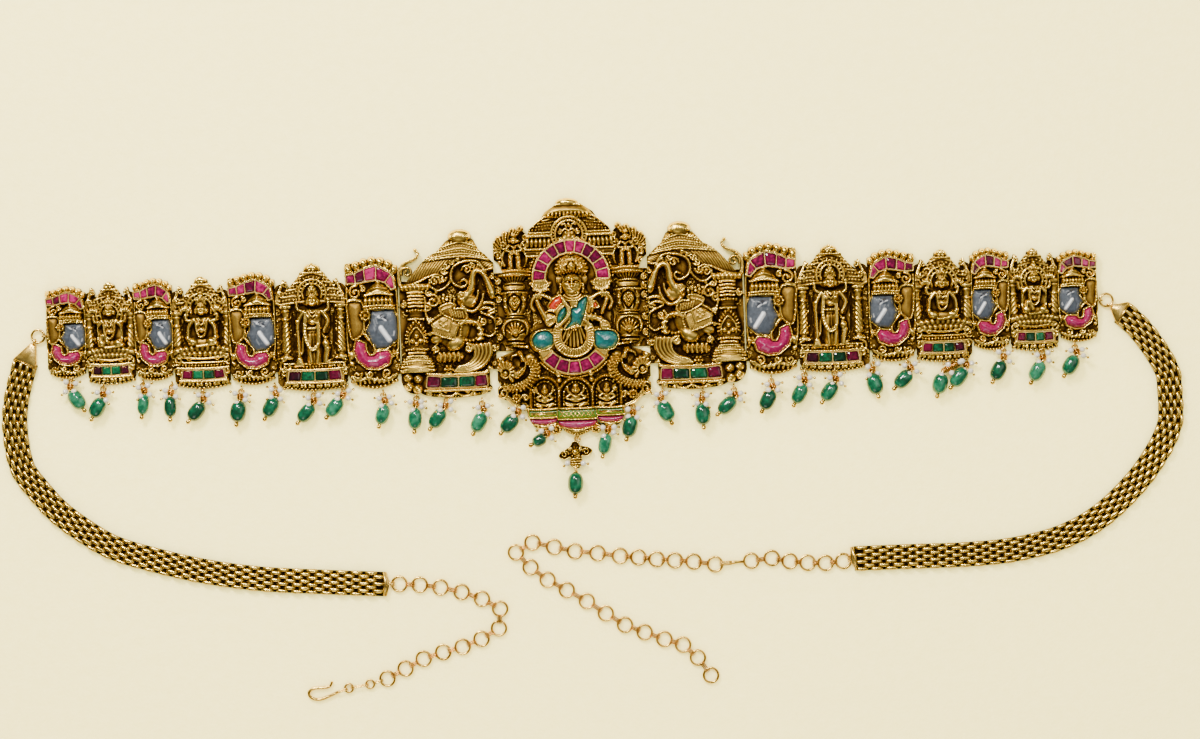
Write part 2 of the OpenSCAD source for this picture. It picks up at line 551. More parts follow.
module yali_plate(side) {
  $gx = yali_w / YALI_GRID[0];
  $gy = yali_h / YALI_GRID[1];
  color(gold) with_drops(0, side) difference() {
    union() {
      linear_extrude(plate_t) difference() {
        offset(delta = border_w) { yali_outline(); drop_lugs(0, side); }
        yali_gaps();
      }
      yali_frame();
      yali_scrolls();
      yali_beast();
    }
    trim(yali_w, yali_h);
    pocket() for (p = yali_stones()) polygon(p);
    link_groove(yali_w, plate_foot(0));
  }
}

// Centre plate, on a grid of 49 by 75.3 squares whose zero is the origin

CENTRE_GRID = [49, 75.3];
CENTRE_FOOT = 0.445;
HALO = [0.1, 16.5];
HALO_OUT = 12.4;
HALO_IN = 8.2;
HALO_STONES = 11;
HALO_FROM = -2;
HALO_TO = 182;
CRESCENT = [0.2, -1.2];
CRESCENT_OUT = 13;
CRESCENT_IN = 8.7;
CRESCENT_STONES = 5;
CRESCENT_FROM = 221;
CRESCENT_TO = 320;
// The three small domes: middle, half width, height of the top
DOMES = [[-9.6, 4.5, -14.8], [0.3, 5.3, -15.4], [10.2, 4.5, -14.8]];
DOME_FOOT = -24.8;
// The bowls under them: middle, half width, foot of the green band, foot of the pink enamel
BOWLS = [[-10.2, 4.5, -27.4, -30], [0.6, 6.2, -28.2, -31.5], [11.2, 4.2, -27.2, -29.8]];
COLUMN = 18.2;
CENTRE_TOP = [[-14.4, 26], [-12.6, 32.2], [-8.6, 35.8], [-7.4, 37.6], [-4.6, 39.4], [-2, 41],
  [0.2, 41.4], [2.2, 41], [4.6, 39.4], [7.4, 37.6], [8.6, 35.8], [12.6, 32.2], [14.4, 26]];
ROBE = [
  [[4.4, 9.8], [1.6, 6.6], [-0.4, 3.8], [-2.2, 1.6], [-0.6, 0.8], [1.8, 3], [4, 5.6], [5.8, 8.6]],
  [[-4.6, 6.6], [-3.6, 3], [-3.2, 2], [-4.4, 2.4], [-5.2, 5]],
  [[-12.9, -2.6], [-11.6, -5.4], [-9, -5.8], [-7, -4], [-6.6, -1.6], [-8.6, 0], [-11.4, -0.2]],
  [[14.3, -3], [12.6, -5.8], [9.6, -6.2], [7.4, -4.2], [7, -1.8], [9.4, -0.6], [12.6, -0.8]]
];
SLEEVES = [
  [[-7, 6.6], [-3.4, 7], [-3, 10.4], [-6.4, 10.2]],
  [[6.9, 7.2], [8.1, 7.1], [8.2, 8.7], [7, 8.8]]
];
cell_in = 0.1; // how far the cells of a ring of stones keep inside its edges
function ring_cells(c, r_out, r_in, a0, a1, n) = row_plans(
  [for (i = [0:n]) g(c) + polar((r_out - cell_in) * square_size(), a0 + (a1 - a0) * i / n)],
  [for (i = [0:n]) g(c) + polar((r_in + cell_in) * square_size(), a0 + (a1 - a0) * i / n)]);
module centre_grid() {
  $gx = centre_w / CENTRE_GRID[0];
  $gy = centre_h / CENTRE_GRID[1];
  children();
}
function halo_stones() = ring_cells(HALO, HALO_OUT, HALO_IN, HALO_FROM, HALO_TO, HALO_STONES);
function crescent_stones() =
  ring_cells(CRESCENT, CRESCENT_OUT, CRESCENT_IN, CRESCENT_FROM, CRESCENT_TO, CRESCENT_STONES);
module centre_outline() {
  shape(concat(CENTRE_TOP, [[15, 24], [-15, 24]]));
  bar(-19, 19, -14, 25);
  for (d = [-1, 1]) mirror([d < 0 ? 1 : 0, 0]) {
    patch([[12, 24], [14, 31.4], [18, 33], [22, 31], [25.4, 28], [26, 24.6], [23, 22], [20, 16], [14, 15]]);
    bar(12, 24, -6, 19);
    patch([[12, -6], [24, -8], [25.6, -13], [23, -18], [25.4, -20], [20.6, -22.6], [18, -25], [14.6, -25],
      [12, -20]]);
    disc([6.4, -31.4], 2);
  }
  for (b = BOWLS) patch([[b[0] - b[1], DOME_FOOT + 2], [b[0] - b[1] - 0.4, DOME_FOOT - 1],
    [b[0] - b[1] * 0.9, b[3] + 1.6], [b[0] - b[1] * 0.5, b[3] - 0.6], [b[0] + b[1] * 0.5, b[3] - 0.6],
    [b[0] + b[1] * 0.9, b[3] + 1.6], [b[0] + b[1] + 0.4, DOME_FOOT - 1], [b[0] + b[1], DOME_FOOT + 2]]);
  patch([[-2.6, -31.4], [0.4, -33.3], [3.4, -31.4], [0.4, -29]]);
  bar(-15, 15.4, DOME_FOOT - 1, -12);
}
module centre_gaps() {
  for (d = [-1, 1]) mirror([d < 0 ? 1 : 0, 0]) {
    patch([[12.9, 10.8], [13.5, 12.6], [12.8, 14.8], [12.2, 12.6]]);
    patch([[13.2, 1], [13.4, 5], [12.6, 6], [12.4, 2]]);
    disc([9.9, -12.6], 0.8);
    patch([[15.6, -9.6], [17, -9.8], [17.2, -11.2], [15.8, -11.4]]);
    patch([[22.8, -3.4], [23.8, -5.4], [22.6, -7.4], [21.4, -5.6]]);
    patch([[15.2, 21], [15.6, 24], [14.4, 25], [14.2, 22]]);
  }
}
module column(d) {
  turned([d * COLUMN, 19.7], [[0, 5.6], [1.6, 5.9], [2, 5], [4.2, 3.4], [4.8, 2.2], [6, 2.3], [6.4, 5.2],
    [7.4, 5.2], [7.8, 3.6], [10.5, 4.9], [12.6, 4.4], [13.6, 2.8], [14.2, 3.6], [15, 3.5], [15.6, 2.8],
    [18.4, 4.6], [20.8, 4], [22, 2.4], [22.6, 2.8], [23.6, 2.6]], 3.2);
  level(2) {
    patch([for (p = [[-2.4, 21], [-2.6, 24], [-1, 27.4], [1, 27.4], [2.4, 24], [2.6, 21]])
      [d * (COLUMN + p[0]), p[1]]]);
  }
  boss([d * (COLUMN - 0.4), 28.9], 1.7, 4.4);
  boss([d * (COLUMN - 0.4), 30.9], 1.1, 4);
}
module fans_and_birds() {
  for (d = [-1, 1]) mirror([d < 0 ? 1 : 0, 0]) {
    level(1.4) for (t = [0:3]) stroke([[15 + 2 * t, 22.4], [19 + 1.2 * t, 26 - 0.6 * t],
      [17 + 2.8 * t, 32.4 - 1.3 * t]], 1, 1.3);
    level(1.6) for (t = [0:3]) stroke([[13.4 + 1.6 * t, -11.4 + 0.4 * t], [18 + 1.2 * t, -13 + t],
      [20 + 1.4 * t, -17.4 + 1.6 * t]], 1.1, 1.4);
    level(2.4) stroke([[12.4, -11], [14.4, -15.6], [18, -18.6], [21.6, -17.8]], 2.2, 1.6);
    boss([17.9, -8.8], 1.7, 3.6);
    boss([17.6, -21.6], 1.5, 3.4);
    level(2) {
      curl([22.6, -19.6], 2.2, 90, -1.1, 0.8);
      stroke([[21, -20.8], [18.6, -23.6], [15.6, -24.4]], 0.9, 0.7);
      curl([22.4, -8], 1.7, -90, 1, 0.7);
      flower([20, -20.8], 1.1, 6);
    }
    level(2.6) flower([6.3, -31.5], 1.9, 8);
  }
}
module entablature() {
  level(1) shape([for (p = CENTRE_TOP) [p[0] * 0.93, 26 + (p[1] - 26) * 0.95]]);
  level(2) for (y = [24.4, 30]) bar(-14 + (y - 24) / 3, 14 - (y - 24) / 3, y - 0.7, y + 0.7);
  level(2) for (t = [0:2])
    stroke([[-10.6 + 2.4 * t, 33 + 2 * t], [0, 34.4 + 2.2 * t], [10.6 - 2.4 * t, 33 + 2 * t]], 0.9, 0.9);
  beads([[-13, 26.4], [0, 26.4], [13, 26.4]], 14, 0.8, 1.8);
  level(3.2, 0.2) hoop([-0.1, 30.6], 5.2, 3.6);
  boss([-0.1, 30.4], 2.6, 4.6);
  boss([0.2, 39.6], 1.7, 3.6);
  level(2.6) stroke([[-4.6, 34.6], [-2, 36.4], [0, 37.4], [2, 36.4], [4.4, 34.6]], 1, 1);
}
module goddess() {
  level(3.6, 0.2) hoop(HALO, HALO_OUT + stone_wall, HALO_IN - stone_wall, -6, 186);
  level(3.4, 0.2) hoop(CRESCENT, CRESCENT_OUT + stone_wall, CRESCENT_IN - stone_wall,
    CRESCENT_FROM - 3, CRESCENT_TO + 3);
  level(4) {
    patch([[-6, 11], [-2, 12], [2.4, 12], [6.4, 11], [6, 6], [3.6, 1], [5, -3], [-4.4, -3], [-3, 1],
      [-5.6, 6]]);
    for (d = [-1, 1]) {
      patch([[d * 2, 0.6], [d * 8, 1.4], [d * 13, -1.2], [d * 13.6, -5], [d * 9, -7], [d * 3, -4]]);
      stroke([[d * 6.4, 10.4], [d * 10.4, 12.4], [d * 11.9, 8.4], [d * 9.4, 4.4]], 1.5, 1.4);
    }
    stroke([[-9.6, 12], [-9.6, 14.4]], 3.6, 5.4);
    stroke([[9.8, 12], [9.8, 14.4]], 3.6, 5.4);
    disc([-7.2, 3.6], 2.2);
    stroke([[3.4, 3.4], [7.2, 2], [10.4, 0.8]], 2.2, 2.6);
  }
  level(5.4) {
    hoop([0.3, -1.6], 6.4, 4.1, 200, 380);
    stroke([[-2.8, 9.6], [-1.4, 6.4], [-2.6, 3], [-5.4, 0], [-5.7, -3.6]], 1.8, 2.2);
    stroke([[4.8, 9], [5, 4], [5.4, 0.8], [5.5, -1]], 1.6, 2.2);
    disc([0.4, 10], 2.4);
  }
  turned([0.4, 25], [[0, 1], [0.8, 3.2], [2, 4.6], [3.4, 4.3], [5, 5.2], [6.6, 5.2], [7, 3.6]], 9.6);
  boss([0.4, 15], 3.3, 9.9);
}
module domes() {
  for (m = DOMES) {
    arc = concat([[m[0] - m[1], DOME_FOOT]], [[m[0] - m[1], m[2] - m[1]]],
      [for (a = [150:-30:30]) [m[0] + m[1] * cos(a), m[2] - m[1] + m[1] * sin(a)]],
      [[m[0] + m[1], m[2] - m[1]]], [[m[0] + m[1], DOME_FOOT]]);
    level(2) stroke(arc, 0.6, 0.6);
    level(1) shape(arc);
    level(2.2) patch([for (p = [[-2.2, 0.6], [-1.4, 4.6], [1.4, 4.6], [2.2, 0.6]])
      [m[0] + p[0], DOME_FOOT + p[1]]]);
    boss([m[0], DOME_FOOT + 5.8], 1.3, 4);
  }
  for (b = BOWLS) level(3.4, 0.2)
    bar(b[0] - b[1] - 0.4, b[0] + b[1] + 0.4, b[2] - 0.5, DOME_FOOT);
}
// The enamel on the bowls: which is 0 for the green bands and 1 for the pink bowls
module bowl_plan(b, which) {
  top = which == 0 ? DOME_FOOT - 0.6 : b[2] - 0.6;
  foot = which == 0 ? b[2] + 0.1 : b[3];
  lean = which == 0 ? 0 : b[1] * 0.24;
  shape([[b[0] - b[1], top], [b[0] - b[1] + lean, foot], [b[0] + b[1] - lean, foot], [b[0] + b[1], top]]);
}
module centre_plate() {
  color(gold) with_drops(-1, 0) with_drops(-1, 1) with_pendant_eye() centre_grid() difference() {
    union() {
      linear_extrude(plate_t) difference() {
        offset(delta = border_w) {
          centre_outline();
          for (s = [0, 1]) mirror([1 - s, 0]) drop_lugs(-1, s);
          pendant_lug();
        }
        centre_gaps();
      }
      entablature();
      column(-1);
      column(1);
      fans_and_birds();
      domes();
      goddess();
    }
    translate([0, -centre_h / 2]) trim(centre_w, centre_h);
    pocket(plate_t) for (p = concat(halo_stones(), crescent_stones())) polygon(p);
    pocket(plate_t) for (p = ROBE) patch(p);
    pocket(plate_t) for (p = SLEEVES) shape(p);
    pocket(plate_t) for (b = BOWLS) for (which = [0, 1]) bowl_plan(b, which);
    link_groove(centre_w, 0);
  }
}

// Drops

// Row: plate, eyelet's place as a share of the plate's half width, its height above the plate's
// foot, lean of the wire wrap and of the bead in degrees from straight down, bead length, width
DROPS = [
  [
    [-1, 0.735, 10.6, 11, 43, 6.8, 5], [-1, 0.375, 3.3, 3, 63, 4.6, 4.3],
    [0, 0.7, 1.4, 5, 5, 6.8, 4.8], [0, 0.07, 0.4, 16, 37, 6.8, 4.8], [0, -0.66, -0.9, -18, 28, 6.9, 5.2],
    [1, -0.3, -0.8, -20, 18, 6.6, 4.8], [2, -0.01, -0.5, 0, 41, 6.8, 4.8],
    [2, -0.88, 0.9, 16, 40, 6.8, 4.8], [3, 0.57, -0.6, 9, 10, 6.8, 5.4], [3, -0.86, 0, -15, 29, 6.9, 5.2],
    [4, 0.02, -0.9, -11, 40, 6.8, 4.9], [5, 0.66, 0, -16, 9, 6.5, 4],
    [5, -0.83, -0.9, 12, 2, 6.6, 4.3], [6, 0.39, -0.7, -5, 30, 6.8, 5.2], [7, -0.17, 0.2, 14, -33, 6.8, 5.1]
  ], [
    [-1, 0.747, 9.2, 2, -17, 6.9, 5.2], [-1, 0.43, 3.8, -14, -13, 6.6, 4.6],
    [0, -0.77, 0.4, -24, 25, 6.9, 5.4], [0, 0.065, -0.4, -14, 3, 7, 5.4], [0, 0.71, 0.6, 16, -49, 6.8, 5],
    [1, -0.11, -0.8, 14, -29, 6.8, 4.9], [2, -0.88, 0.4, 0, -28, 6.8, 4.9],
    [2, -0.02, 0.4, 8, -36, 6.8, 5], [3, -0.86, 0.7, -20, 13, 6.9, 5.4], [3, 0.6, 0.6, 28, -46, 6.8, 5],
    [4, -0.05, 0, -16, -14, 6.7, 5.3], [4, 0.72, 1.2, 8, -40, 7, 5], [5, 0.6, 0.8, -5, -28, 6.8, 4.9],
    [6, 0.27, 0, 5, -31, 6.9, 5.2], [7, -0.22, -0.4, 14, -34, 6.8, 5.2]
  ]
];
// Length of the wire wrap above a bead
wrap_l = 2.4;
knee_share = 1.15; // size of the knee above a bead as a share of the pin
lug_w = 1.7;
lug_h = 4;
notch_r = eyelet_r + eyelet_wire / 2 + clear;

function half_width(k) = k < 0 ? half_centre : WING[k][2] / 2;
function middle_x(k) = k < 0 ? 0 : plate_x(k);
function foot_y(k) = k < 0 ? -CENTRE_FOOT * centre_h : plate_foot(k);
function down(a) = [sin(a), -cos(a)];
function drop_eye(d) = [middle_x(d[0]) + d[1] * half_width(d[0]), foot_y(d[0]) + d[2]];
function drop_loop(d) = drop_eye(d) + down(0) * (eyelet_r + clear);
function drop_top(d) = drop_loop(d) + down(d[3]) * wrap_l;
function drop_bead(d) = drop_top(d) + down(d[4]) * (d[5] / 2 + pin_d);

module on_plate(k) { translate([-middle_x(k), k < 0 ? 0 : -plate_foot(k)]) children(); }
module mirrored(side) { mirror([1 - side, 0, 0]) children(); }
module drop_lugs(k, side) {
  on_plate(k) for (d = DROPS[side]) if (d[0] == k)
    translate(drop_eye(d) - [lug_w / 2, 0]) square([lug_w, lug_h]);
}
module torus(r, wire) { rotate_extrude() translate([r, 0]) circle(r = wire / 2); }
// An eyelet that stands on edge, with the direction d that it looks in
module standing_eyelet(p, d) {
  translate([p[0], p[1], eyelet_z]) rotate([0, 0, atan2(d[1], d[0])]) rotate([90, 0, 0])
    torus(eyelet_r, eyelet_wire);
}
// A plate with the eyelets of its drops, and room round each loop
module with_drops(k, side) {
  mirrored(k < 0 ? side : 1) on_plate(k) {
    for (d = DROPS[side]) if (d[0] == k) standing_eyelet(drop_eye(d), down(0));
  }
  difference() {
    children();
    mirrored(k < 0 ? side : 1) on_plate(k) for (d = DROPS[side]) if (d[0] == k)
      translate([0, 0, -over]) linear_extrude(sky) polygon(concat(
        [for (a = [0:20:180]) drop_loop(d) + polar(notch_r, a)],
        [for (a = [180:20:360]) drop_top(d) + polar(notch_r, a)]));
  }
}
module bead(p, lean, l, w, bore) {
  translate([p[0], p[1], bead_z]) rotate([0, 0, lean]) rotate([90, 0, 0]) rotate_extrude() polygon(concat(
    [for (t = [-1:0.25:1]) [max(w / 2 * sqrt(max(1 - t * t * 0.94, 0)), bore / 2 + clear), t * l / 2]],
    [[bore / 2, l / 2], [bore / 2, -l / 2]]));
}
module rod(a, b, za, zb, d) {
  v = [b[0] - a[0], b[1] - a[1], zb - za];
  translate([a[0], a[1], za]) rotate([0, acos(v[2] / norm(v)), atan2(v[1], v[0])])
    cylinder(d = d, h = norm(v));
}
module ball(p, z, d) { translate([p[0], p[1], z]) sphere(d = d); }
module drop_pin(d) {
  eye = drop_loop(d);
  top = drop_top(d);
  wrap = eye + down(d[3]) * (eyelet_r + wrap_d / 2 - clear);
  end = drop_bead(d) + down(d[4]) * (d[5] / 2 + clear + pin_ball_d / 2);
  translate([eye[0], eye[1], eyelet_z]) torus(eyelet_r, eyelet_wire);
  ball(wrap, (eyelet_z + bead_z) / 2, wrap_d);
  rod(wrap, top, (eyelet_z + bead_z) / 2, bead_z, pin_d);
  ball(top, bead_z, pin_d * knee_share);
  rod(top, end, bead_z, bead_z, pin_d);
  ball(end, bead_z, pin_ball_d);
}
module drop_pins(side) { color(gold) mirrored(side) for (d = DROPS[side]) drop_pin(d); }
module emerald_beads(side) {
  color(emerald) mirrored(side) for (d = DROPS[side]) bead(drop_bead(d), d[4], d[5], d[6], bead_bore);
}

// Pendant under the centre plate: its leaf cap hangs from an eyelet and holds the pin of the bead

PENDANT_EYE = [0.3, -33.9];
CAP_LEAVES = [[-1, 0], [-2.1, -1.6], [-4.6, -3], [-5.6, -4.6], [-3.8, -5.6], [-1.8, -5],
  [-2, -7.4], [0.4, -8.6], [2, -6.8], [1.8, -4.6], [3.8, -4.6], [5.2, -3], [3.8, -1.8],
  [1.4, -1.2], [0.6, 0]];
CAP_HOLES = [[-3.9, -4], [3.2, -3.2]];
CAP_HOLE_R = 0.6;
CAP_SHIFT = [-0.6, 0]; // from the loop to the cap's own axis
CAP_BOSS = [0, -3.2];
CAP_BOSS_D = 2.2;
NECK_FROM = [0, -5.6];
NECK_D = 1.4;
PENDANT_TOP = [-0.9, -8.7]; // from the cap's top to the upper end of the bead's pin
PENDANT_LEAN = -3;
PENDANT_SLIDE = 0.5; // how far the bead has slid down its pin
pendant_eye = [PENDANT_EYE[0] * centre_w / CENTRE_GRID[0], PENDANT_EYE[1] * centre_h / CENTRE_GRID[1]];
pendant_loop = pendant_eye - [0, eyelet_r + clear];
cap_top = pendant_loop - [0, eyelet_r];
pendant_top = cap_top + PENDANT_TOP;
pendant_middle = pendant_top + down(PENDANT_LEAN) * (pendant_l / 2 + pin_d);
module pendant_lug() { translate(pendant_eye - [lug_w / 2, 0]) square([lug_w, lug_h]); }
module with_pendant_eye() {
  standing_eyelet(pendant_eye, down(0));
  difference() {
    children();
    translate(concat(pendant_loop, -over)) cylinder(r = notch_r, h = sky);
  }
}
module pendant_cap() {
  axis = cap_top + CAP_SHIFT;
  end = pendant_middle + down(PENDANT_LEAN) * (pendant_l / 2 + clear + pin_ball_d / 2);
  color(gold) {
    translate(concat(pendant_loop, eyelet_z)) torus(eyelet_r, eyelet_wire);
    translate(concat(axis, eyelet_z)) linear_extrude(plate_t, center = true) difference() {
      polygon(smooth_loop(CAP_LEAVES, 3));
      for (h = CAP_HOLES) translate(h) circle(r = CAP_HOLE_R);
    }
    ball(axis + CAP_BOSS, eyelet_z, CAP_BOSS_D);
    rod(axis + NECK_FROM, pendant_top, eyelet_z, bead_z, NECK_D);
    ball(pendant_top, bead_z, pin_ball_d);
    rod(pendant_top, end, bead_z, bead_z, pin_d);
    ball(end, bead_z, pin_ball_d);
  }
}
module pendant_bead() {
  color(emerald)
    bead(pendant_middle + down(PENDANT_LEAN) * PENDANT_SLIDE, PENDANT_LEAN, pendant_l, pendant_d, bead_bore);
}

// Straps

// Chosen routes of the straps, from the end of the panel outwards, with x counted from the panel's
// end. The first point is where the end cap's eyelet is.
BAND_LEFT = [[-5.8, 0.9], [-7.1, -4], [-9, -10], [-10.5, -16], [-11.3, -22], [-11.1, -28], [-10.3, -34],
  [-8.7, -39], [-5.2, -44], [1, -51.4], [8.7, -57.8], [18.9, -64.2], [31.8, -68.6], [47.2, -72.7],
  [65.1, -75.8], [85.7, -77.6], [105.2, -79]];
BAND_RIGHT = [[4.6, 1], [7.6, -0.8], [12, -4.9], [15.8, -9.8], [19.3, -15.4], [21.7, -20.8], [22.1, -26.5],
  [22.2, -31.9], [21.6, -37.3], [17.9, -45], [10.2, -55.2], [-1.4, -65.5], [-14.2, -71.9], [-29.6, -75.3],
  [-45, -76.3], [-63, -76.3], [-80.6, -76.3]];
BAND_ROUTES = [BAND_LEFT, BAND_RIGHT];
// Height of each jump ring's middle, and the lean of the strap's eyelet on it from straight down
JUMP_Y = [4.2, 3.3];
JUMP_LEAN = [-35, 28];
eyelet_sunk = 0.15; // how deep an eyelet sits in the plate that carries it
rib_share = 0.68; // width of a row of links as a share of the pitch of the rows
core_share = 0.94; // width of the strap's core as a share of the strap
cap_half = band_w * 0.46;
cap_back = 0.6; // how far the end cap of a strap reaches back over it
cap_edge = 0.5; // and how far its straight edge runs on
cap_tip = 1.3;
cap_loop = 1.4; // middle of the loop's curve beyond the strap's end
function panel_x(side) = SIDE_SIGN[side] * panel_end;
function end_eye(side) = [panel_end + eyelet_r - eyelet_sunk, JUMP_Y[side]];
function jump_at(side) = [SIDE_SIGN[side] * (end_eye(side)[0] + jump_r + rest_gap), JUMP_Y[side]];
function band_eye(side) = jump_at(side) + down(JUMP_LEAN[side]) * jump_r;
function band_route(side) = [for (p = BAND_ROUTES[side]) [p[0] + panel_x(side), p[1]]];
function band_path(side) = let (r = smooth(band_route(side))) [for (i = [1:len(r) - 1]) r[i]];
function band_end(side) = let (r = band_route(side)) r[len(r) - 1];
// A fan from the eyelet's foot to the full width of the strap, which starts at p
module band_fan(eye, p, turn) {
  d = down(turn);
  n = [-d[1], d[0]];
  foot = eye + d * eyelet_r;
  linear_extrude(band_t * 0.9) polygon([foot + n * lug_w / 2, p + n * cap_half, p + d + n * cap_half,
    p + d - n * cap_half, p - n * cap_half, foot - n * lug_w / 2]);
}
module band(side) {
  path = band_path(side);
  pitch = band_w / band_rows;
  eye = band_eye(side);
  v = path[0] - eye;
  turn = atan2(v[0], -v[1]);
  color(gold) {
    translate([0, 0, rest_gap]) linear_extrude(band_t * 0.7)
      polygon(ribbon(path, band_w * core_share, band_w * core_share));
    for (i = [0:band_rows - 1]) translate([0, 0, band_t * 0.4]) linear_extrude(band_t * 0.6)
      polygon(ribbon(beside(path, pitch * (i - (band_rows - 1) / 2)), pitch * rib_share, pitch * rib_share));
    band_fan(eye, path[0], turn);
    standing_eyelet(eye, down(turn));
    band_cap(band_end(side), ring_path(side)[0]);
    stadium_loop(toward(band_end(side), ring_path(side)[0], cap_loop),
      toward(ring_path(side)[0], band_end(side), ring_r - loop_slack), loop_w);
  }
}
// The plain cap between a strap and its chain, at the strap's end and pointing at p
module band_cap(end, p) {
  v = p - end;
  translate(concat(end, 0)) linear_extrude(band_t * 0.8) rotate([0, 0, atan2(v[1], v[0])])
    polygon([[-cap_back, cap_half], [cap_edge, cap_half], [cap_tip, loop_w / 2], [cap_tip, -loop_w / 2],
      [cap_edge, -cap_half], [-cap_back, -cap_half]]);
}
module jump_ring(side) { color(gold) translate(concat(jump_at(side), eyelet_z)) torus(jump_r, jump_wire); }

// Ring chains

// Chosen places of the rings, with x counted from the panel's end, from the strap to the free end
RINGS_LEFT = [[109.7, -79.1], [116.2, -79.6], [122.8, -80.7], [129.5, -82.4], [135.9, -84.8], [141.6, -88.2],
  [141, -94.4], [135.3, -97.6], [129.2, -99.9], [122.9, -101.4], [116.6, -103.3], [110.7, -106.2],
  [104.8, -109.2]];
RINGS_RIGHT = [[-84.2, -77], [-89.9, -77.4], [-95.6, -77.1], [-101.3, -76.4], [-107, -75.2]];
// The rings beyond the joining link of the right chain
RINGS_TAIL = [[-125.2, -76.5], [-132, -75.4], [-138, -74.8], [-143.8, -74.2], [-149.6, -73.4],
  [-155.5, -72.7], [-162.6, -71.6], [-169.8, -70.7], [-176.4, -69.1], [-183.3, -67.4],
  [-188.7, -70.4], [-184.2, -75.3], [-178.9, -79.5], [-172.9, -83], [-166.6, -86.8],
  [-160.7, -90.9], [-154.7, -94.8], [-148.5, -97.4], [-142.3, -99.8], [-136.4, -101.8],
  [-131.8, -106.1], [-127.8, -111.9]];
RING_ROUTES = [RINGS_LEFT, concat(RINGS_RIGHT, RINGS_TAIL)];
// Number of rings on the strap's side of the joining link
RINGS_BEFORE_LINK = [0, 5];
function ring_path(side) = [for (p = RING_ROUTES[side]) [p[0] + panel_x(side), p[1]]];
// A ring's wire curves away inside a loop, so that the loop's end lies this far inside the ring
loop_slack = 0.2;
solder = 0.3; // how far outside a ring's wire the near end of its own loop lies
module stadium(l, r) {
  for (x = [0, l]) translate([x, 0]) circle(r = r);
  translate([0, -r]) square([l, 2 * r]);
}
// A loop on edge, w wide, with the middles of its round ends at a and b
module stadium_loop(a, b, w) {
  v = b - a;
  translate(concat(a, ring_z)) rotate([0, 0, atan2(v[1], v[0])]) rotate([90, 0, 0])
    linear_extrude(w, center = true) difference() {
      stadium(norm(v), loop_in + loop_t);
      stadium(norm(v), loop_in);
    }
}
function toward(a, b, d) = a + (b - a) * d / norm(b - a);
// The loop from the ring at a, to which it is soldered, to the ring at b
module ring_loop(a, b) {
  stadium_loop(toward(a, b, ring_r + solder), toward(b, a, ring_r - loop_slack), loop_w);
}
module ring_at(p) { translate(concat(p, ring_z)) torus(ring_r, ring_wire); }
module ring_chain(side) {
  path = ring_path(side);
  n = len(path);
  color(gold) for (i = [0:n - 1]) {
    ring_at(path[i]);
    if (i + 1 == RINGS_BEFORE_LINK[side]) ring_loop(path[i], link_ring(side));
    else if (i < n - 1) ring_loop(path[i], path[i + 1]);
  }
}

// Hooks

// The joining link of the right chain: a ring and a bar that ends in a loop
LINK_STEP = [-6.6, -0.6]; // from the last ring before the link to the link's own ring
link_loop_l = 2.3;
link_weld = 0.2;
function link_ring(side) = ring_path(side)[RINGS_BEFORE_LINK[side] - 1] + LINK_STEP;
module clasp_link() {
  a = link_ring(1);
  b = ring_path(1)[RINGS_BEFORE_LINK[1]];
  color(gold) {
    ring_at(a);
    translate([0, 0, ring_z]) linear_extrude(ring_wire, center = true) polygon(ribbon(
      [toward(a, b, ring_r), toward(b, a, ring_r + link_loop_l + link_weld)], ring_wire, ring_wire));
    stadium_loop(toward(b, a, ring_r + link_loop_l), toward(b, a, ring_r - loop_slack), loop_w);
  }
}
// Small links between the left chain and its hook: a flat ring, one on edge and another flat ring
SMALL_RINGS = [[-5.6, -1.6], [-12.4, -2.6]]; // from the last ring of the chain
small_wire = 0.7;
small_r = 1.35;
small_slack = 0.15;
small_loop_w = loop_w * 0.6;
// Chosen route of the hook's wire from its eye round to its tip, counted from the same ring
HOOK_ROUTE = [[-15.9, -3.7], [-19.4, -5.2], [-22.4, -5.9], [-24.8, -5], [-25.2, -3.4], [-23.6, -2.3],
  [-20.8, -2.2], [-18.6, -1.8], [-17.8, -0.6]];
hook_sides = 8;
function last_ring() = let (p = ring_path(0)) p[len(p) - 1];
function small_ring(i) = last_ring() + SMALL_RINGS[i];
module hook_links() {
  a = small_ring(0);
  b = small_ring(1);
  color(gold) {
    for (p = [a, b]) translate(concat(p, ring_z)) torus(small_r, small_wire);
    stadium_loop(toward(last_ring(), a, ring_r - loop_slack), toward(a, last_ring(), small_r + solder),
      small_loop_w);
    stadium_loop(toward(a, b, small_r - small_slack), toward(b, a, small_r - small_slack), small_loop_w);
  }
}
module hook() {
  path = smooth([for (p = HOOK_ROUTE) last_ring() + p]);
  color(gold) {
    tube(path, hook_wire / 2, ring_z);
    stadium_loop(path[0], toward(small_ring(1), path[0], small_r - small_slack), small_loop_w);
  }
}
// A round wire along a flat path
module tube(path, r, z) {
  m = len(path);
  s = hook_sides;
  points = [for (i = [0:m - 1]) let (n = left_of(path, i))
    for (k = [0:s - 1]) let (c = polar(r, 360 * k / s))
    [path[i][0] + n[0] * c[0], path[i][1] + n[1] * c[0], z + c[1]]];
  polyhedron(points, concat(
    [[for (k = [0:s - 1]) k]],
    [[for (k = [s - 1:-1:0]) (m - 1) * s + k]],
    [for (i = [0:m - 2]) for (k = [0:s - 1]) let (j = (k + 1) % s)
      [i * s + k, (i + 1) * s + k, (i + 1) * s + j, i * s + j]]));
}

// Nodes that gather the stones and enamel of several plates

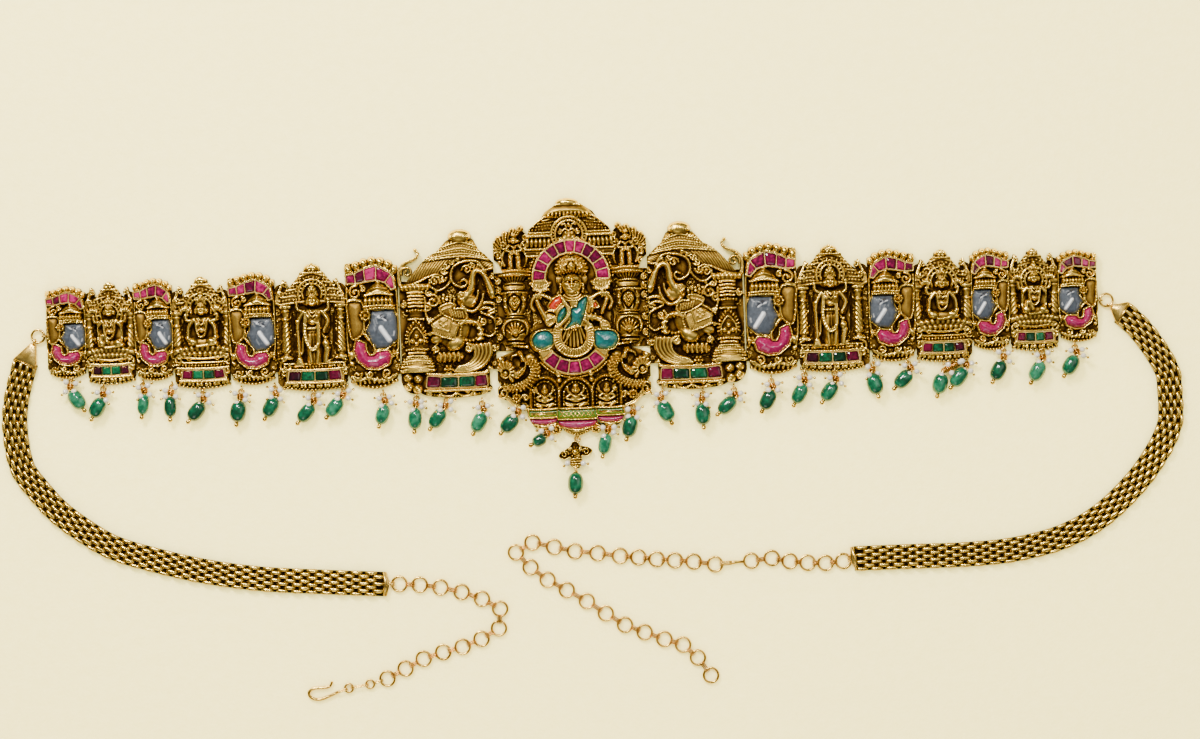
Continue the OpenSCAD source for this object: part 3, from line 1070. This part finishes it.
module on_wing(kind, side) {
  for (k = [0:len(WING) - 1]) if (WING[k][0] == kind)
    translate([SIDE_SIGN[side] * plate_x(k), plate_foot(k)]) mirrored(side) {
      $k = k;
      children();
    }
}
module placed(k, side) {
  translate([SIDE_SIGN[side] * plate_x(k), plate_foot(k)]) mirrored(side) children();
}
function wing_plate(kind, number) =
  [for (k = [0:len(WING) - 1]) if (WING[k][0] == kind && WING[k][1] == number) k][0];
module link_wire() {
  reach = panel_end - lug_w;
  color(gold) translate([-reach, link_y, link_wire_gap + link_wire_d / 2]) rotate([0, 90, 0])
    cylinder(d = link_wire_d, h = 2 * reach);
}
module elephant_faces() {
  color("slategray") for (side = [0, 1]) on_wing("elephant", side) elephant_face($k);
}
module elephant_trunks() {
  color(ruby) for (side = [0, 1]) on_wing("elephant", side) elephant_grid($k)
    elephant_enamel(TRUNK, face_enamel_h * trunk_share);
}
module crest_rubies(side) {
  color(ruby) on_wing("elephant", side) elephant_grid($k)
    for (p = crest_stones()) gem(p, setting_floor + setting_gap, crest_stone_h);
}
// The stones in the rows along the feet of the shrine and beast plates: the outer two are red,
// the inner two green
module base_stones(inner) {
  for (side = [0, 1]) {
    placed(0, side) {
      $gx = yali_w / YALI_GRID[0];
      $gy = yali_h / YALI_GRID[1];
      pick_stones(yali_stones(), inner);
    }
    for (i = [0:len(SHRINES) - 1]) placed(wing_plate("shrine", i), side) {
      $gx = shrine_w[i] / SHRINE_GRID[i][0];
      $gy = shrine_h[i] / SHRINE_GRID[i][1];
      pick_stones(shrine_stones(i), inner);
    }
  }
}
module pick_stones(plans, inner) {
  for (j = [0:3]) if ((j == 1 || j == 2) == inner) gem(plans[j], setting_floor + setting_gap, base_stone_h);
}
module base_rubies() { color(garnet) base_stones(false); }
module base_emeralds() { color(emerald) base_stones(true); }
module halo_rubies() {
  color(ruby) centre_grid() for (p = halo_stones()) gem(p, plate_t + setting_gap, crest_stone_h);
}
module crescent_rubies() {
  color(ruby) centre_grid() for (p = crescent_stones()) gem(p, plate_t + setting_gap, crest_stone_h);
}
robe_h = 2.7;
bowl_h = 2;
// Enamel in a pocket of the centre plate, h high
module centre_enamel(h) {
  centre_grid() translate([0, 0, plate_t + setting_gap]) linear_extrude(h) children();
}
module goddess_robe() {
  color("darkturquoise") centre_enamel(robe_h) offset(delta = weld) for (p = ROBE) patch(p);
}
module goddess_sleeves() {
  color("tomato") centre_enamel(robe_h) offset(delta = weld) for (p = SLEEVES) shape(p);
}
module bowl_part(which) { centre_enamel(bowl_h) for (b = BOWLS) bowl_plan(b, which); }
module bowl_bands() { color("yellowgreen") bowl_part(0); }
module bowl_enamel() { color(ruby) bowl_part(1); }

centre_plate();
for (side = [0, 1]) {
  placed(0, side) yali_plate(side);
  for (i = [1:4]) placed(wing_plate("elephant", i - 1), side) elephant_plate(wing_plate("elephant", i - 1), side);
  for (i = [1:3]) placed(wing_plate("shrine", i - 1), side) shrine_plate(wing_plate("shrine", i - 1), side);
  crest_rubies(side);
  emerald_beads(side);
  drop_pins(side);
  band(side);
  jump_ring(side);
  ring_chain(side);
}
link_wire();
elephant_faces();
elephant_trunks();
goddess_robe();
goddess_sleeves();
bowl_bands();
bowl_enamel();
base_rubies();
base_emeralds();
halo_rubies();
crescent_rubies();
pendant_cap();
pendant_bead();
hook_links();
hook();
clasp_link();
